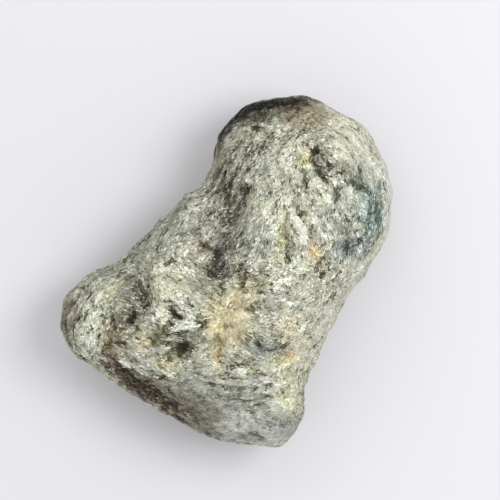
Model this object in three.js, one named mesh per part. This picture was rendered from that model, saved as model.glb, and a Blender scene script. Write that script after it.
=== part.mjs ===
// A piece of raw fuchsite: one stone of green-grey chrome mica, about 32 mm long. It has a broad crown, a
// spine that runs down from it, a knob at one side and a sloping lower face. Its edges are worn round, and it
// lies on flat cleavage with its best side up.
// Millimetres, +Z up. The origin lies under the middle of the stone's box, at the level that it rests on.
import * as THREE from "three";
import { ImprovedNoise } from "three/addons/math/ImprovedNoise.js";
import { mergeVertices } from "three/addons/utils/BufferGeometryUtils.js";

// Driving dimensions
const FACE_RISE = 6.1; // from the stone's waist up to the plain level of the face
const UNDER_DROP = 6.3; // from the waist down to the plain level of the underside
const REST_DROP = 6.0; // from the waist down to the cleavage face that the stone rests on
const FACE_ROUNDING = 5.2; // how far in from the outline the face is worn round
const UNDER_ROUNDING = 8.0;
const BEVEL_SOFTNESS = 0.35; // how much the edges of the broken faces are worn
const GEODESIC_DETAIL = 21; // 20 * (detail + 1) ** 2 triangles
const OUTLINE_STEPS = 300; // straight steps round the outline, to measure how far inside it a point lies
const PATH_STEPS = 6; // straight steps from one point of a crease's path to the next
const CREASES_FROM = 0.04; // the share of the way from waist to pole where creases and pits begin to show
const CREASES_WHOLE_FROM = 0.3; // and where they have their whole depth

// The outline seen from above, clockwise from the crown's top.
const OUTLINE = [
  [3.7, 15.8], [5.5, 15.9], [7.3, 15.7], [8.9, 15.1], [10.8, 14.3], [12.2, 13.4], [13.2, 12.3],
  [13.9, 10.9], [14.5, 9.5], [14.8, 7.9], [15.0, 6.2], [14.8, 4.2], [13.9, 2.0], [12.7, 0.0],
  [11.3, -2.2], [10.1, -4.3], [8.9, -6.4], [7.9, -8.6], [7.2, -10.1], [6.9, -12.0], [6.6, -13.7],
  [5.8, -15.1], [4.3, -16.0], [2.3, -15.9], [-0.1, -15.5], [-2.1, -14.9], [-4.3, -13.6], [-6.9, -11.9],
  [-10.1, -10.0], [-12.6, -8.3], [-14.0, -7.1], [-14.7, -5.5], [-14.8, -4.1], [-14.4, -2.6],
  [-13.5, -1.3], [-12.3, -0.5], [-10.9, -0.1], [-9.5, 0.7], [-8.1, 2.0], [-6.2, 4.1], [-4.5, 5.8],
  [-3.6, 6.8], [-2.8, 7.2], [-1.9, 8.1], [-1.2, 9.4], [-0.9, 10.8], [-0.5, 12.1], [0.3, 13.4],
  [1.3, 14.5], [2.5, 15.4],
];
const MIDDLE = new THREE.Vector2(0.4, -0.5); // every point of the outline can be seen from here

// Swells of the face: where each stands, how far it spreads and how much it rises.
const FACE_SWELLS = [
  { name: "crown", at: [6.6, 8.6], spread: 4.6, rise: 2.3 },
  { name: "right shoulder", at: [11.2, 4.8], spread: 3.4, rise: 0.8 },
  { name: "spine", at: [4.6, 1.8], spread: 3.6, rise: 1.7 },
  { name: "belly", at: [3.0, -5.0], spread: 3.6, rise: 1.7 },
  { name: "left swell", at: [-5.2, -1.8], spread: 3.0, rise: 1.5 },
  { name: "knob", at: [-12.0, -4.4], spread: 2.2, rise: 0.5 },
  { name: "foot", at: [4.4, -12.6], spread: 2.6, rise: 0.6 },
];
const UNDER_SWELLS = [
  { name: "under the crown", at: [6.8, 7.6], spread: 4.4, rise: 0.7 },
  { name: "under the belly", at: [0.6, -6.4], spread: 4.6, rise: 0.6 },
  { name: "hollow of the back", at: [-1.6, 3.2], spread: 3.0, rise: -1.1 },
  { name: "under the knob", at: [-12.2, -5.0], spread: 2.6, rise: -0.9 },
];

// Broken faces, as planes: each goes through a point, off the waist, and falls away towards a side.
const FACE_BEVELS = [
  { name: "lower face", through: [0.4, -8.7, 7.3], towards: [0.05, -1], fall: 0.6 },
  { name: "left flank", through: [-3.4, 2.4, 6.2], towards: [-0.66, 0.75], fall: 0.72 },
  { name: "crown's polished edge", through: [1.0, 12.0, 5.6], towards: [-0.8, 0.6], fall: 1.25 },
  { name: "right flank", through: [9.2, -1.4, 6.6], towards: [0.86, -0.5], fall: 0.8 },
  { name: "knob's end", through: [-13.2, -5.2, 5.0], towards: [-1, -0.2], fall: 1.1 },
];
const UNDER_BEVELS = [
  { name: "under the right flank", through: [9.4, -0.6, 5.2], towards: [0.86, -0.5], fall: 0.9 },
  { name: "under the crown's edge", through: [5.0, 12.6, 5.2], towards: [-0.1, 1], fall: 0.8 },
  { name: "under the knob's neck", through: [-8.4, -3.4, 5.4], towards: [-0.95, 0.3], fall: 0.5 },
];

// Hollows, slits and ledges: each runs along a path and dies out at both ends. It is so deep halfway, and
// reaches so far to the left and right as one walks along it. A minus depth stands out of the surface.
const FACE_CREASES = [
  {
    name: "long hollow",
    path: [[-0.2, 10.2], [0.3, 8.2], [1.0, 6.4], [0.5, 4.7], [-0.3, 2.6], [-0.8, 0.6], [-0.5, -2.0]],
    depth: 1.35, left: 1.3, right: 2.8,
  },
  { name: "side hollow", path: [[-2.8, 3.5], [-1.7, 2.0], [-0.9, 0.9]], depth: 0.5, left: 0.9, right: 0.9 },
  {
    name: "knob's neck",
    path: [[-9.2, 0.0], [-8.3, -1.2], [-7.7, -2.6], [-8.4, -4.0], [-9.8, -5.4], [-10.3, -6.8]],
    depth: 1.15, left: 1.3, right: 1.3,
  },
  { name: "crown slit", path: [[6.8, 10.7], [7.0, 8.9], [7.2, 7.1]], depth: 0.5, left: 0.7, right: 0.7 },
  { name: "crown dents", path: [[8.2, 11.0], [8.8, 9.9], [8.9, 8.8]], depth: 0.55, left: 0.9, right: 0.8 },
  { name: "upper plate", path: [[7.9, 7.9], [8.8, 6.9], [9.5, 5.7]], depth: -0.4, left: 0.7, right: 0.9 },
  {
    name: "upper plate's foot",
    path: [[9.6, 8.0], [10.4, 6.6], [10.6, 5.4]],
    depth: 0.4, left: 0.8, right: 0.6,
  },
  { name: "lower plate", path: [[5.9, 5.0], [6.6, 4.0], [7.1, 2.8]], depth: -0.4, left: 0.8, right: 0.6 },
  {
    name: "lower plate's slit",
    path: [[4.9, 4.2], [5.3, 2.9], [5.8, 1.1]],
    depth: 0.45, left: 0.6, right: 0.7,
  },
  {
    name: "bright fold",
    path: [[-6.4, -3.9], [-5.4, -4.8], [-4.0, -5.3], [-2.5, -5.1]],
    depth: -0.5, left: 0.8, right: 0.8,
  },
  {
    name: "pit above the fold",
    path: [[-5.5, -2.9], [-4.7, -3.5], [-3.8, -4.0]],
    depth: 0.75, left: 0.85, right: 0.85,
  },
  {
    name: "left rib",
    path: [[-9.0, -5.6], [-8.2, -6.8], [-6.6, -7.8]],
    depth: -0.4, left: 0.9, right: 0.9,
  },
  {
    name: "knob's crest",
    path: [[-11.9, -2.6], [-12.2, -4.2], [-12.1, -6.4]],
    depth: -0.35, left: 1.0, right: 1.0,
  },
  {
    name: "rusty slit",
    path: [[-0.6, -5.9], [-0.8, -7.0], [-0.8, -8.2]],
    depth: 0.4, left: 0.6, right: 0.6,
  },
  {
    name: "belly crease",
    path: [[2.4, -6.8], [4.0, -7.3], [5.8, -6.9], [7.0, -6.3]],
    depth: 0.5, left: 0.7, right: 0.9,
  },
  {
    name: "lower face's ledge",
    path: [[-6.2, -9.4], [-2.0, -10.4], [1.6, -10.4], [4.8, -9.9]],
    depth: 0.4, left: 0.6, right: 0.9,
  },
  {
    name: "lower face's groove",
    path: [[-3.2, -12.0], [0.4, -12.4], [4.0, -11.9]],
    depth: 0.4, left: 0.6, right: 1.0,
  },
  {
    name: "flank step",
    path: [[-7.4, -0.4], [-5.8, 1.8], [-3.8, 3.8], [-2.4, 5.8]],
    depth: 0.35, left: 1.3, right: 0.7,
  },
];
const UNDER_CREASES = [
  {
    name: "back step",
    path: [[-7.4, -3.6], [-2.4, -1.0], [3.2, 0.2], [8.6, 0.4]],
    depth: 0.7, left: 0.8, right: 1.9,
  },
  { name: "back groove", path: [[2.4, 11.6], [4.6, 9.2], [5.2, 5.8]], depth: 0.7, left: 0.9, right: 1.1 },
  {
    name: "back hollow",
    path: [[-7.6, -7.8], [-5.0, -9.8], [-1.8, -10.8]],
    depth: 0.7, left: 1.1, right: 0.9,
  },
];

// Pits: where each lies, how wide it is and how deep.
const FACE_PITS = [
  { at: [-3.9, -7.0], radius: 1.05, depth: 1.15 },
  { at: [-8.5, -4.1], radius: 0.9, depth: 0.6 },
  { at: [-6.5, -7.0], radius: 0.8, depth: 0.35 },
  { at: [-0.8, -0.1], radius: 1.0, depth: 0.6 },
  { at: [1.7, 7.3], radius: 0.9, depth: 0.5 },
  { at: [11.9, 7.6], radius: 0.9, depth: 0.45 },
  { at: [11.1, 1.9], radius: 1.0, depth: 0.5 },
  { at: [8.7, 0.2], radius: 0.9, depth: 0.45 },
  { at: [2.4, -0.4], radius: 0.9, depth: 0.4 },
  { at: [3.5, -3.5], radius: 0.9, depth: 0.4 },
  { at: [-9.8, -2.0], radius: 0.8, depth: 0.35 },
];
const UNDER_PITS = [
  { at: [-3.6, -6.0], radius: 1.2, depth: 0.7 },
  { at: [9.4, 6.2], radius: 1.2, depth: 0.7 },
  { at: [2.6, 2.6], radius: 1.0, depth: 0.6 },
  { at: [4.2, -10.2], radius: 1.1, depth: 0.7 },
];

// Lumps that cover the whole stone, from broad to fine, and the layers of mica that show on its slopes.
const LUMPS = [
  { size: 5.2, height: 0.42, shift: 17.3 },
  { size: 2.7, height: 0.26, shift: 34.6 },
  { size: 1.5, height: 0.15, shift: 51.9 },
];
const LAYER_PITCH = 2.1;
const LAYER_HEIGHT = 0.17;
const LAYER_WANDER = { size: 6.0, height: 1.7, shift: 40.0 }; // how the layers bend up and down
const LAYER_NORMAL = new THREE.Vector3(0.1, 0.3, 0.95).normalize(); // square to the layers

const STONE_COLOUR = 0x9aa193;

const noise = new ImprovedNoise();
const outlineCurve = new THREE.CatmullRomCurve3(
  OUTLINE.map(([x, y]) => new THREE.Vector3(x, y, 0)), true, "centripetal",
);
const outlinePoints = outlineCurve.getSpacedPoints(OUTLINE_STEPS).map((p) => new THREE.Vector2(p.x, p.y));

// The nearest point of a run of segments: how far away it is, how far along the run, and on which side of it
// the given point lies.
function nearest(point, run) {
  const found = { distance: Infinity, along: 0, onLeft: true };
  for (let i = 0; i + 1 < run.length; i++) {
    const step = run[i + 1].clone().sub(run[i]);
    const reach = point.clone().sub(run[i]);
    const share = THREE.MathUtils.clamp(reach.dot(step) / step.lengthSq(), 0, 1);
    const distance = reach.distanceTo(step.clone().multiplyScalar(share));
    if (distance >= found.distance) continue;
    found.distance = distance;
    found.along = (i + share) / (run.length - 1);
    found.onLeft = step.cross(reach) > 0;
  }
  return found;
}

function smoothRun(path) {
  const curve = new THREE.SplineCurve(path.map(([x, y]) => new THREE.Vector2(x, y)));
  return curve.getPoints(PATH_STEPS * (path.length - 1));
}
const withRuns = (creases) => creases.map((crease) => ({ ...crease, run: smoothRun(crease.path) }));
const faceCreases = withRuns(FACE_CREASES);
const underCreases = withRuns(UNDER_CREASES);

const bell = (distance, reach) => Math.exp(-((distance / reach) ** 2));
const apart = (point, [x, y]) => Math.hypot(point.x - x, point.y - y);

// How far out a turn down from the pole goes, as a share of the way to the outline. Even turns make even
// steps along the skin.
function wayOut(turnDown, reach) {
  const flat = reach - FACE_ROUNDING;
  const edge = (Math.PI / 4) * (FACE_ROUNDING + FACE_RISE);
  const along = (turnDown / (Math.PI / 2)) * (flat + edge);
  if (along < flat) return along / reach;
  return (flat + FACE_ROUNDING * Math.sin(((along - flat) / edge) * (Math.PI / 2))) / reach;
}

// A quarter-round edge: 0 on the outline, 1 from the rounding inwards.
const wornEdge = (inwards, rounding) => Math.sqrt(1 - (1 - Math.min(inwards / rounding, 1)) ** 2);

// How far the plain form stands off the waist over a point of the plan, on the face or on the underside.
function plainHeight(point, inwards, level, rounding, swells, bevels) {
  let height = level;
  for (const { at, spread, rise } of swells) height += rise * bell(apart(point, at), spread * Math.SQRT2);
  height *= wornEdge(inwards, rounding);
  for (const { through: [x, y, z], towards, fall } of bevels) {
    const away = new THREE.Vector2(point.x - x, point.y - y);
    const outwards = away.dot(new THREE.Vector2(...towards).normalize());
    const over = (height - (z - fall * outwards)) / BEVEL_SOFTNESS;
    height -= BEVEL_SOFTNESS * Math.log1p(Math.exp(Math.min(over, 30)));
  }
  return Math.max(height, 0);
}

// How deep the creases and pits of one side are over a point of the plan.
function hollowDepth(point, creases, pits) {
  let depth = 0;
  for (const crease of creases) {
    const { distance, along, onLeft } = nearest(point, crease.run);
    const fade = Math.sqrt(Math.sin(Math.PI * along));
    depth += crease.depth * fade * bell(distance, onLeft ? crease.left : crease.right);
  }
  for (const pit of pits) depth += pit.depth * bell(apart(point, pit.at), pit.radius);
  return depth;
}

// Smooth random rise and fall at a point in space.
function wave({ size, height, shift }, { x, y, z }) {
  return height * noise.noise(x / size + shift, y / size + shift, z / size + shift);
}

// The lumps and layers that stand out at a point in space, on a surface that faces a given way.
function roughness(point, normal) {
  const lumps = LUMPS.reduce((height, lump) => height + wave(lump, point), 0);
  const layer = (point.dot(LAYER_NORMAL) + wave(LAYER_WANDER, point)) / LAYER_PITCH;
  const zigzag = 1 - 2 * Math.abs(2 * (layer - Math.floor(layer)) - 1);
  const slope = 1 - Math.abs(normal.dot(LAYER_NORMAL));
  return lumps + LAYER_HEIGHT * slope * zigzag;
}

// The stone: a geodesic ball, pulled out to the outline, raised to the plain form and then made rough.
function stoneGeometry() {
  const ball = new THREE.IcosahedronGeometry(1, GEODESIC_DETAIL);
  ball.deleteAttribute("normal");
  ball.deleteAttribute("uv");
  const geometry = mergeVertices(ball);
  const positions = geometry.attributes.position;
  const firstTurn = Math.atan2(OUTLINE[0][1] - MIDDLE.y, OUTLINE[0][0] - MIDDLE.x);
  const poleShares = []; // -1 at the underside's pole, 0 round the waist, 1 at the face's pole
  for (let i = 0; i < positions.count; i++) {
    const unit = new THREE.Vector3().fromBufferAttribute(positions, i);
    const turn = THREE.MathUtils.euclideanModulo((firstTurn - Math.atan2(unit.y, unit.x)) / (2 * Math.PI), 1);
    const rim = outlineCurve.getPointAt(turn);
    const reach = new THREE.Vector2(rim.x, rim.y).sub(MIDDLE);
    const turnDown = Math.atan2(Math.hypot(unit.x, unit.y), Math.abs(unit.z));
    const plan = reach.clone().multiplyScalar(wayOut(turnDown, reach.length())).add(MIDDLE);
    const inwards = nearest(plan, outlinePoints).distance;
    const height =
      unit.z >= 0
        ? plainHeight(plan, inwards, FACE_RISE, FACE_ROUNDING, FACE_SWELLS, FACE_BEVELS)
        : -plainHeight(plan, inwards, UNDER_DROP, UNDER_ROUNDING, UNDER_SWELLS, UNDER_BEVELS);
    positions.setXYZ(i, plan.x, plan.y, height);
    poleShares.push(unit.z);
  }
  geometry.computeVertexNormals();
  const normals = geometry.attributes.normal;
  for (let i = 0; i < positions.count; i++) {
    const point = new THREE.Vector3().fromBufferAttribute(positions, i);
    const normal = new THREE.Vector3().fromBufferAttribute(normals, i);
    const plan = new THREE.Vector2(point.x, point.y);
    const hollow =
      poleShares[i] > 0
        ? hollowDepth(plan, faceCreases, FACE_PITS)
        : hollowDepth(plan, underCreases, UNDER_PITS);
    const shown = THREE.MathUtils.smoothstep(Math.abs(poleShares[i]), CREASES_FROM, CREASES_WHOLE_FROM);
    point.addScaledVector(normal, roughness(point, normal) - shown * hollow);
    positions.setXYZ(i, point.x, point.y, Math.max(point.z, -REST_DROP));
  }
  geometry.deleteAttribute("normal");
  geometry.computeBoundingBox();
  const { min, max } = geometry.boundingBox;
  return geometry.translate(-(min.x + max.x) / 2, -(min.y + max.y) / 2, -min.z);
}

const stone = new THREE.Mesh(
  stoneGeometry(),
  new THREE.MeshStandardMaterial({ color: STONE_COLOUR, roughness: 0.6, metalness: 0, flatShading: true }),
);
stone.name = "fuchsite_stone";

const rawFuchsite = new THREE.Group();
rawFuchsite.add(stone);
export default rawFuchsite;
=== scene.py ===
import itertools
import math

import bmesh
import bpy
import numpy as np
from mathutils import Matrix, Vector


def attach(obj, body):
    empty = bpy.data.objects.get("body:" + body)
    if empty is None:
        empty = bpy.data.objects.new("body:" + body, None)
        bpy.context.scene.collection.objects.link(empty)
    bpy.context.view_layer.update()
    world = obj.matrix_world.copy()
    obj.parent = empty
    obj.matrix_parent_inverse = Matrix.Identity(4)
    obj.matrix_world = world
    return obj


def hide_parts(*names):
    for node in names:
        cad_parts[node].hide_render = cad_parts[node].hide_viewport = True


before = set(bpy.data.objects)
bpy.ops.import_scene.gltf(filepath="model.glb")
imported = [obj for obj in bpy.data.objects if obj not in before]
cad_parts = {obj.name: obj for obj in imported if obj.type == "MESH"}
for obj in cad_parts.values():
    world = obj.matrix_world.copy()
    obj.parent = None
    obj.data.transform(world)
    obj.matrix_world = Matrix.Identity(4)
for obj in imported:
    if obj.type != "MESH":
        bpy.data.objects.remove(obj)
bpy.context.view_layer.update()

# The stone's body
# One piece of fuchsite schist, green-grey chrome mica that grew in thin bent layers, broken out along them
# and rubbed round at its edges. The body is the rock between the loose-edged flakes: small flat-faced grains,
# cut by slits and pits where flakes have come away.
MM = 0.001  # the stone's own sizes are in millimetres
BODY_CUTS = 3  # each edge of the frame's solid is cut this many times, so that its skin can hold the grain
SAME_CORNER = 0.0005  # corners closer than this are one corner
RESTING = 0.001  # corners lower than this lie on the table
SMOOTHING_ROUNDS = 4
CALM_ROUNDS = 6  # smooths the grains away, for the way that the skin faces under them
GROUND_ROUNDS = 14  # smooths the hollows away too, for the ground that they are sunk in
DEEP_HOLLOW = 0.16
FACE_FROM = 5.0  # the face begins this far above the table, and has its full marks after FACE_FADE more
FACE_FADE = 3.0
RUBBED_FROM = 3.5
RUBBED_FADE = 2.5

# The mica's layers: the way through them, and the two ways along them.
LAYER_NORMAL = np.array([0.1, 0.3, 0.95])
LAYER_NORMAL /= math.hypot(*LAYER_NORMAL)
LAYER_ALONG = np.cross([0.0, 1.0, 0.0], LAYER_NORMAL)
LAYER_ALONG /= np.linalg.norm(LAYER_ALONG)
LAYER_ACROSS = np.cross(LAYER_NORMAL, LAYER_ALONG)

# Paths along the rubbed edges, seen from above.
RUBBED_CROWN = [(-1.2, 10.2), (-0.8, 12.0), (0.3, 13.7), (1.6, 15.0), (3.6, 15.6), (7.4, 15.6)]
RUBBED_RIM = [(12.6, 13.2), (14.2, 10.9), (15.0, 7.8), (15.1, 5.2), (14.2, 2.2), (11.2, -2.4)]
RUBBED_FOOT = [(-2.0, -14.4), (2.4, -15.2), (5.8, -15.0)]
# The crown's dark edge: partly dark polished stone, partly painted cast shadow.
DARK_EDGE = [(-1.7, 10.8), (-1.3, 12.0), (-0.2, 13.6), (1.3, 15.0), (3.4, 15.9), (6.3, 16.1)]

# Where the grain has a run of its own: the middle, the reach, how much longer than wide the flakes are there,
# how strongly streaks show, and their turn in degrees or the point that they fan out from. The plain run
# between these places counts for PLAIN_GRAIN, and its flakes are PLAIN_STRETCH times as long as wide.
PLAIN_GRAIN = 0.3
PLAIN_STRETCH = 2.0
FAINT = 0.01  # a place's grain is left out where it counts for less than this
GRAIN = [
    ("crown and spine", (5.6, 6.4), 4.5, 2.6, 0.8, ("fan", (6.4, 13.6))),
    ("left of the crown", (0.2, 9.0), 2.6, 3.6, 2.6, ("turn", 60)),
    ("right shoulder", (12.0, 5.0), 3.0, 2.2, 0.5, ("turn", 100)),
    ("raised plate", (8.6, 7.0), 1.1, 2.6, 0.8, ("turn", -57)),
    ("pale streak", (6.4, 4.0), 1.3, 3.4, 0.9, ("turn", -57)),
    ("belly", (0.3, -4.8), 2.3, 4.0, 0.8, ("fan", (0.0, -3.5))),
    ("lower face", (0.5, -12.0), 3.8, 3.0, 0.9, ("turn", 1)),
    ("left swell", (-5.0, -1.0), 2.6, 2.2, 0.6, ("turn", -40)),
    ("long pit", (-4.2, -4.2), 1.4, 3.2, 1.8, ("turn", -28)),
    ("knob", (-12.4, -4.6), 2.4, 2.4, 0.8, ("turn", 75)),
    ("left flank", (-4.0, 4.0), 3.0, 2.2, 0.5, ("turn", 60)),
    ("lower left", (-7.6, -8.6), 2.2, 2.8, 1.2, ("turn", -30)),
    ("foot", (2.4, -14.4), 1.8, 3.2, 1.6, ("turn", 6)),
]

# Where the skin is rougher or calmer than elsewhere: the middle, the reach along and across, the turn, and
# how much rougher.
ROUGHNESS = [
    ("foot", (2.4, -14.2), (4.4, 1.3), -4, -0.30),
    ("outer right rim", (14.9, 6.4), (5.5, 0.5), 95, -0.55),
    ("right flank", (10.8, -2.4), (5.0, 1.2), 57, -0.25),
    ("lower right edge", (6.6, -9.6), (4.0, 0.8), 75, -0.25),
    ("lower face", (0.2, -11.6), (4.2, 1.6), -4, -0.35),
    ("right of the crown", (11.4, 11.2), (2.8, 1.8), -60, -0.40),
    ("upper left edge", (-6.5, 4.6), (5.0, 0.9), 43, -0.10),
    ("grey wedge", (-0.6, 3.0), (1.3, 0.45), 82, -0.60),
    ("grey patch of the crown", (0.8, 12.6), (1.6, 0.9), 50, -0.60),
    ("valley's foot and the slope", (0.9, 0.5), (2.6, 2.0), 0, 0.70),
    ("ochre fan", (0.1, -4.2), (2.0, 2.0), 0, -0.50),
    ("round the long pit", (-4.4, -4.1), (2.2, 1.4), -30, 0.60),
    ("speckle of the right flank", (8.9, 0.4), (1.3, 1.1), 0, 0.50),
    ("below the pit of the crown", (8.9, 9.4), (1.9, 1.3), -60, 0.60),
    ("spine", (4.2, 6.0), (3.6, 1.8), 72, 0.30),
    ("left of the crown", (0.2, 8.8), (2.8, 1.4), 66, 0.70),
    ("crown", (5.0, 11.6), (3.4, 2.0), 0, 0.30),
    ("knob", (-12.0, -4.4), (2.6, 2.4), 80, 0.40),
    ("left flank", (-4.4, 3.0), (3.4, 1.8), 43, 0.20),
    ("knob valley's head", (-7.6, -2.4), (1.5, 1.0), -65, 0.80),
    ("yellow groove", (7.15, 9.8), (0.8, 0.3), 85, -0.90),
    ("lower left edge", (-7.9, -10.2), (5.0, 0.9), -35, 0.45),
    ("teal rim", (13.2, 4.8), (2.4, 1.1), 82, 0.35),
    ("blue-grey patch", (11.3, 2.0), (1.4, 0.9), 35, 0.35),
]

# Hollows where flakes have come away, and the slits between plates: the middle, how far each reaches along
# and across, its turn in degrees, how deep it is and how dark. The dark is painted shade, put into the colour
# of the pits and slits.
HOLLOWS = [
    ("black pit of the crown", (8.0, 10.6), (0.50, 0.40), 0, 0.22, 1.0),
    ("speckled dip of the crown", (8.25, 9.6), (1.1, 0.8), -30, 0.08, 0.78),
    ("small pit of the crown", (6.8, 11.3), (0.38, 0.24), -20, 0.14, 0.8),
    ("slit beside the raised plate", (8.5, 8.4), (1.1, 0.26), -52, 0.22, 0.85),
    ("dip of the shoulder", (9.1, 9.6), (0.35, 0.5), 0, 0.11, 0.6),
    ("green pit", (9.7, 6.7), (0.65, 0.32), 85, 0.16, 0.75),
    ("pit of the shoulder", (12.0, 7.5), (0.75, 0.24), -22, 0.10, 0.72),
    ("teal hollow", (13.3, 4.6), (2.0, 0.8), 78, 0.06, 0.20),
    ("blue-grey hollow", (11.2, 2.0), (1.1, 0.7), 32, 0.07, 0.15),
    ("pit below the plate", (7.5, 3.8), (0.45, 0.25), 90, 0.14, 0.65),
    ("slit of the streak", (6.6, 4.8), (0.85, 0.14), -65, 0.17, 0.65),
    ("flank pits", (8.6, 0.2), (0.9, 0.6), 20, 0.06, 0.25),
    ("flank pit above", (9.1, 0.4), (0.30, 0.24), 60, 0.14, 0.85),
    ("flank pit below", (8.5, -0.6), (0.34, 0.22), 10, 0.14, 0.85),
    ("slit below the yellow line", (5.35, 1.6), (0.62, 0.13), -70, 0.17, 0.75),
    ("slit beside the yellow line", (5.8, 4.0), (0.45, 0.13), -65, 0.14, 0.45),
    ("scarp of the valley", (0.55, 5.6), (1.9, 0.58), 68, 0.10, 0.66),
    ("upper scarp", (1.7, 8.6), (1.1, 0.20), 60, 0.08, 0.25),
    ("foot of the valley", (-0.7, 0.8), (1.5, 0.55), 82, 0.08, 0.52),
    ("right of the valley's foot", (0.5, 1.6), (0.7, 0.5), 60, 0.05, 0.06),
    ("below the valley's foot", (-0.2, -1.4), (0.9, 0.5), 60, 0.08, 0.38),
    ("brown pit", (-1.8, 2.2), (0.34, 0.26), 0, 0.12, 0.65),
    ("nick in the valley", (0.0, 4.6), (0.22, 0.32), 0, 0.12, 0.8),
    ("nick in the crown", (3.1, 12.9), (0.34, 0.22), 20, 0.11, 0.8),
    ("line in the crown", (2.7, 10.9), (0.55, 0.16), 40, 0.10, 0.4),
    ("long pit", (-4.6, -3.9), (1.2, 0.26), -32, 0.14, 1.0),
    ("line over the long pit", (-3.4, -3.0), (0.8, 0.13), -20, 0.10, 0.8),
    ("line beside the long pit", (-3.2, -3.8), (0.7, 0.12), -25, 0.10, 0.8),
    ("deep pit", (-3.8, -6.85), (0.64, 0.42), 12, 0.15, 0.95),
    ("left of the deep pit", (-4.8, -6.9), (0.7, 0.4), 50, 0.06, 0.35),
    ("knob-side pit", (-8.4, -4.1), (0.62, 0.26), 75, 0.13, 1.0),
    ("knob valley's head", (-7.6, -2.3), (1.2, 0.5), -65, 0.08, 0.36),
    ("olive hollow", (-6.3, -6.0), (0.8, 0.4), 60, 0.08, 0.52),
    ("green hollow beside the fan", (-2.2, -4.7), (0.5, 0.5), 0, 0.08, 0.65),
    ("knob nick", (-13.4, -4.4), (0.3, 0.2), -30, 0.10, 0.8),
    ("second knob nick", (-11.1, -4.0), (0.22, 0.22), 0, 0.10, 0.8),
    ("third knob nick", (-12.8, -1.6), (0.2, 0.26), 0, 0.08, 0.7),
    ("knob's valley", (-10.5, -6.1), (1.3, 0.45), 80, 0.06, 0.50),
    ("edge pit", (-5.6, -9.5), (0.4, 0.2), 0, 0.12, 0.9),
    # Painted cast shadow along the lower left edge, with only a faint dent.
    ("lower left edge", (-7.0, -10.9), (3.6, 0.7), -36, 0.03, 0.72),
    ("crack under the fan", (1.1, -8.4), (0.65, 0.15), 10, 0.15, 1.0),
    ("belly hollow", (2.9, -6.5), (0.45, 0.25), -52, 0.08, 0.6),
    ("belly slit", (5.0, -6.7), (0.45, 0.15), 20, 0.08, 0.65),
    ("below the belly hollow", (2.5, -7.8), (0.6, 0.2), 0, 0.08, 0.6),
    ("violet dip", (2.5, -3.3), (0.7, 0.42), 0, 0.09, 0.62),
    ("green dip", (3.1, -2.0), (0.38, 0.24), 0, 0.08, 0.6),
    ("nick of the slope", (1.2, 0.2), (0.34, 0.18), 10, 0.09, 0.75),
    ("short slit of the slope", (1.8, -0.4), (0.45, 0.16), 86, 0.10, 0.75),
    ("fan slit", (-0.6, -6.9), (1.3, 0.2), 88, 0.07, 0.02),
    ("first line of the lower face", (-1.2, -10.2), (0.9, 0.14), -3, 0.07, 0.35),
    ("second line of the lower face", (1.4, -11.6), (1.3, 0.10), -3, 0.08, 0.55),
    ("third line of the lower face", (2.8, -12.1), (0.5, 0.10), 4, 0.07, 0.55),
    ("fourth line of the lower face", (-1.5, -11.3), (1.3, 0.12), 5, 0.08, 0.6),
    ("foot pit", (5.7, -13.7), (0.34, 0.26), 0, 0.06, 0.5),
    ("second belly hollow", (3.7, -7.2), (0.4, 0.22), 20, 0.07, 0.6),
    ("third belly hollow", (4.5, -6.2), (0.3, 0.2), 0, 0.06, 0.5),
    ("fourth belly hollow", (2.1, -6.0), (0.3, 0.25), 60, 0.06, 0.5),
    ("beside the deep pit", (-4.9, -6.5), (0.35, 0.16), 0, 0.06, 0.7),
    ("under the deep pit", (-4.2, -7.6), (0.45, 0.16), 25, 0.06, 0.6),
    ("speck beside the knob-side pit", (-8.0, -5.0), (0.2, 0.16), 0, 0.06, 0.7),
    ("dark of the shoulder", (11.4, 7.9), (0.6, 0.35), 0, 0.07, 0.55),
    ("green specks of the shoulder", (10.5, 8.6), (0.35, 0.25), 0, 0.07, 0.6),
    ("specks below the raised plate", (9.9, 5.4), (0.4, 0.2), 30, 0.07, 0.55),
    ("fifth line of the lower face", (0.9, -10.5), (0.7, 0.10), 6, 0.06, 0.45),
    ("line in the first fold", (-5.7, -3.1), (0.45, 0.12), -30, 0.05, 0.8),
    ("second line in the fold", (-5.2, -4.5), (0.5, 0.12), -10, 0.06, 0.8),
    ("line under the second fold", (-4.4, -5.6), (0.8, 0.13), 8, 0.07, 0.8),
    ("third line in the fold", (-6.2, -3.9), (0.4, 0.10), -50, 0.05, 0.8),
    ("dark over the first fold", (-5.3, -2.5), (0.6, 0.14), -15, 0.05, 0.6),
    ("dark left of the second fold", (-5.2, -5.0), (0.5, 0.35), 0, 0.05, 0.55),
    ("dark of the blue", (11.0, 1.95), (0.65, 0.32), 42, 0.05, 0.60),
    ("second dark of the blue", (12.0, 2.6), (0.40, 0.22), 50, 0.05, 0.50),
    ("dark above the teal", (14.1, 7.4), (0.6, 0.24), 85, 0.04, 0.35),
    ("crack of the knob", (-12.6, -4.0), (0.45, 0.12), 75, 0.06, 0.6),
    ("slit of the scarp", (1.1, 5.9), (1.0, 0.13), 68, 0.10, 0.85),
    ("second slit of the scarp", (0.2, 6.9), (0.9, 0.12), 64, 0.08, 0.80),
    ("third slit of the scarp", (1.7, 6.2), (0.7, 0.12), 72, 0.08, 0.75),
    ("fourth slit of the scarp", (0.1, 5.1), (0.9, 0.13), 70, 0.08, 0.80),
    ("fifth slit of the scarp", (-0.5, 3.6), (0.8, 0.12), 66, 0.08, 0.60),
    ("dark between the folds", (-4.9, -4.6), (0.5, 0.16), -35, 0.06, 0.9),
    ("olive slit of the crown", (7.2, 8.2), (0.7, 0.13), 84, 0.12, 0.70),
    ("thin line in the second fold", (-3.5, -4.98), (0.7, 0.06), 12, 0.05, 0.8),
    ("left crack of the valley's foot", (-1.0, 1.1), (1.3, 0.15), 80, 0.08, 0.9),
    ("right crack of the valley's foot", (-0.3, 0.3), (0.9, 0.12), 66, 0.08, 0.7),
]
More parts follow.
